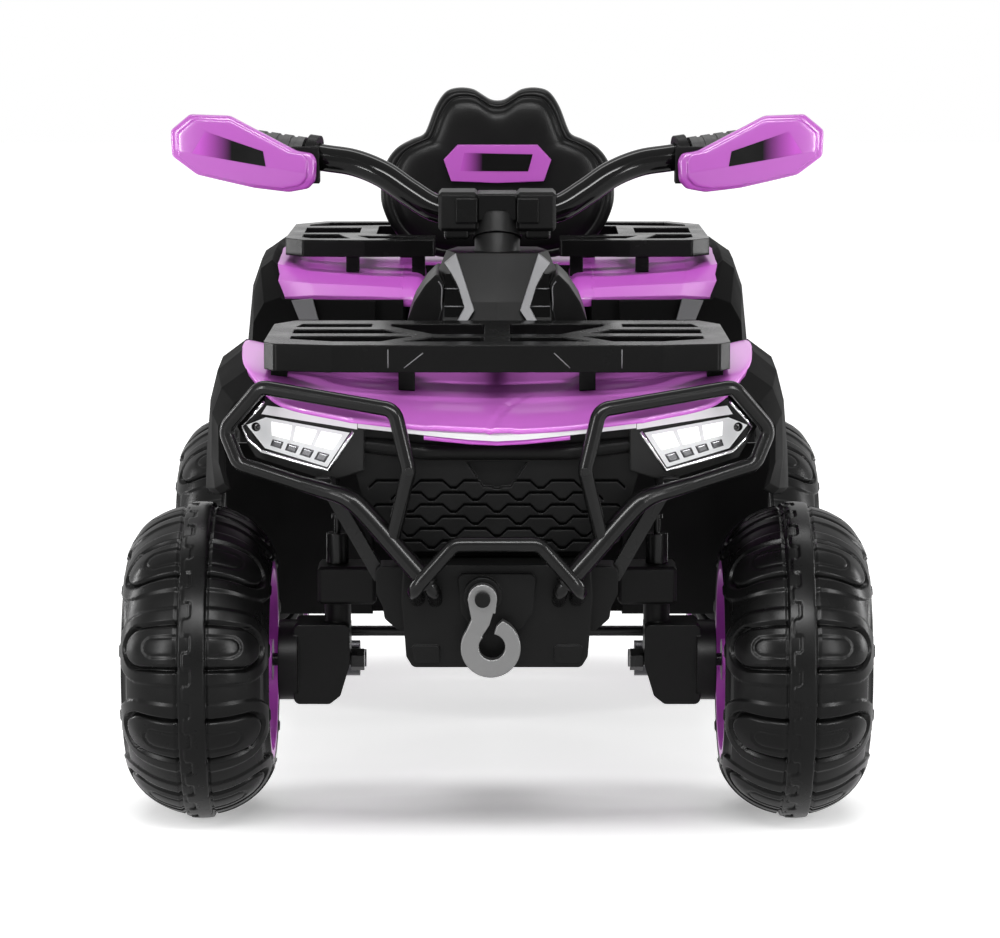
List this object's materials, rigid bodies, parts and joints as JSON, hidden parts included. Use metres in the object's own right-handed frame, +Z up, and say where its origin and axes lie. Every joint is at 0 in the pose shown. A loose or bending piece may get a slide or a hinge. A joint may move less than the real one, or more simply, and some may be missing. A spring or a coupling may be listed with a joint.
{
  "type": "kids quad bike",
  "caption": "Ride-on quad bike for children with purple panels, black bull bar, racks, fat lugged tyres, steering linkage, lit headlights and a winch hook.",
  "frame": {"origin": "on the floor under the middle of the quad", "axes": "+Z up, +Y to the rear, +X to the rider's left; the front faces -Y"},
  "size_m": [0.7, 1.05, 0.657],
  "materials": {
    "black_gloss": "satin black moulding",
    "black_plastic": "matte black moulding",
    "black_tube": "black powder coat",
    "button_red": "red button",
    "grey_tube": "grey paint",
    "grip_rubber": "ribbed rubber",
    "hook_steel": "grey cast metal",
    "lamp_clear": "clear lamp cover",
    "lamp_red": "red lamp cover",
    "lamp_strip": "white light strip",
    "motor_can": "steel can",
    "purple_gloss": "gloss orchid purple",
    "seat_leather": "black faux leather",
    "silver_trim": "silver paint",
    "steel": "zinc steel",
    "tyre": "satin moulded tyre"
  },
  "bodies": {
    "chassis": {"backrest": "seat_leather", "backrest_badge": "purple_gloss", "body_screws": "grey_tube", "bull_bar": "black_tube", "bull_bar_braces": "grey_tube", "bumper_skid": "black_plastic", "chassis_tub": "black_plastic", "column_bushes": "black_plastic", "column_cover": "black_plastic", "dash_panel": "black_plastic", "footboard_left": "black_plastic", "footboard_right": "black_plastic", "front_axle_beam": "black_plastic", "front_cowl": "purple_gloss", "front_fascia": "black_plastic", "front_fenders": "black_gloss", "front_rack": "black_gloss", "headlight_lenses": "lamp_clear", "light_bar": "lamp_strip", "rear_axle": "steel", "rear_cowl": "purple_gloss", "rear_fenders": "black_gloss", "rear_gearboxes": "black_plastic", "rear_motors": "motor_can", "rear_panel": "black_plastic", "rear_rack": "black_gloss", "seat": "seat_leather", "silver_trim": "silver_trim", "tail_lights": "lamp_red"},
    "steering": {"grips": "grip_rubber", "guard_clamps": "black_plastic", "hand_guard_left": "purple_gloss", "hand_guard_right": "purple_gloss", "handlebar": "black_tube", "handlebar_clamp": "black_plastic", "steering_shaft": "black_tube"},
    "tie_rod": {"tie_rod": "grey_tube"},
    "knuckle_left": {"knuckle_pins_left": "grey_tube", "front_gearbox_left": "black_plastic", "front_motor_left": "motor_can"},
    "knuckle_right": {"knuckle_pins_right": "grey_tube", "front_gearbox_right": "black_plastic", "front_motor_right": "motor_can"},
    "wheel_front_left": {"tyre_front_left": "tyre", "rim_front_left": "purple_gloss", "hub_cap_front_left": "black_plastic"},
    "wheel_front_right": {"tyre_front_right": "tyre", "rim_front_right": "purple_gloss", "hub_cap_front_right": "black_plastic"},
    "wheel_rear_left": {"tyre_rear_left": "tyre", "rim_rear_left": "purple_gloss", "hub_cap_rear_left": "black_plastic"},
    "wheel_rear_right": {"tyre_rear_right": "tyre", "rim_rear_right": "purple_gloss", "hub_cap_rear_right": "black_plastic"},
    "throttle_pedal": {"throttle_pedal": "black_plastic"},
    "power_button": {"power_button": "button_red"},
    "direction_switch": {"direction_switch": "black_plastic"},
    "tow_hook": {"tow_hook": "hook_steel"}
  },
  "joints": [
    {"name": "steer", "type": "hinge", "parent": "chassis", "child": "steering", "pos_m": [0, -0.3123, 0.201], "axis": [0, 0.3907, 0.9205], "range_deg": [-20, 20]},
    {"name": "tie_rod_slide", "type": "slide", "parent": "chassis", "child": "tie_rod", "axis": [1, 0, 0], "range_m": [-0.01575, 0.01575]},
    {"name": "kingpin_left", "type": "hinge", "parent": "chassis", "child": "knuckle_left", "pos_m": [0.151, -0.32, 0.225], "axis": [0, 0, 1], "range_deg": [-20, 20]},
    {"name": "kingpin_right", "type": "hinge", "parent": "chassis", "child": "knuckle_right", "pos_m": [-0.151, -0.32, 0.225], "axis": [0, 0, 1], "range_deg": [-20, 20]},
    {"name": "spin_front_left", "type": "hinge", "parent": "knuckle_left", "child": "wheel_front_left", "pos_m": [0.28, -0.32, 0.15], "axis": [1, 0, 0], "continuous": true},
    {"name": "spin_front_right", "type": "hinge", "parent": "knuckle_right", "child": "wheel_front_right", "pos_m": [-0.28, -0.32, 0.15], "axis": [1, 0, 0], "continuous": true},
    {"name": "spin_rear_left", "type": "hinge", "parent": "chassis", "child": "wheel_rear_left", "pos_m": [0.28, 0.32, 0.15], "axis": [1, 0, 0], "continuous": true},
    {"name": "spin_rear_right", "type": "hinge", "parent": "chassis", "child": "wheel_rear_right", "pos_m": [-0.28, 0.32, 0.15], "axis": [1, 0, 0], "continuous": true},
    {"name": "throttle", "type": "hinge", "parent": "chassis", "child": "throttle_pedal", "pos_m": [-0.205, 0.01, 0.176], "axis": [1, 0, 0], "range_deg": [0, 9], "stiffness_Nm_per_rad": 2},
    {"name": "power_press", "type": "slide", "parent": "chassis", "child": "power_button", "axis": [0, 0, -1], "range_m": [0, 0.0025], "stiffness_N_per_m": 400},
    {"name": "direction_rock", "type": "hinge", "parent": "chassis", "child": "direction_switch", "pos_m": [-0.028, -0.028, 0.411], "axis": [1, 0, 0], "range_deg": [-12, 12]},
    {"name": "hook_swing", "type": "hinge", "parent": "chassis", "child": "tow_hook", "pos_m": [-0.013, -0.506, 0.243], "axis": [0, 1, 0], "range_deg": [-25, 25]}
  ],
  "couplings": [
    {"joint": "tie_rod_slide", "follows": "steer", "m_per_rad": -0.045},
    {"joint": "kingpin_left", "follows": "steer", "ratio": 1},
    {"joint": "kingpin_right", "follows": "steer", "ratio": 1}
  ]
}
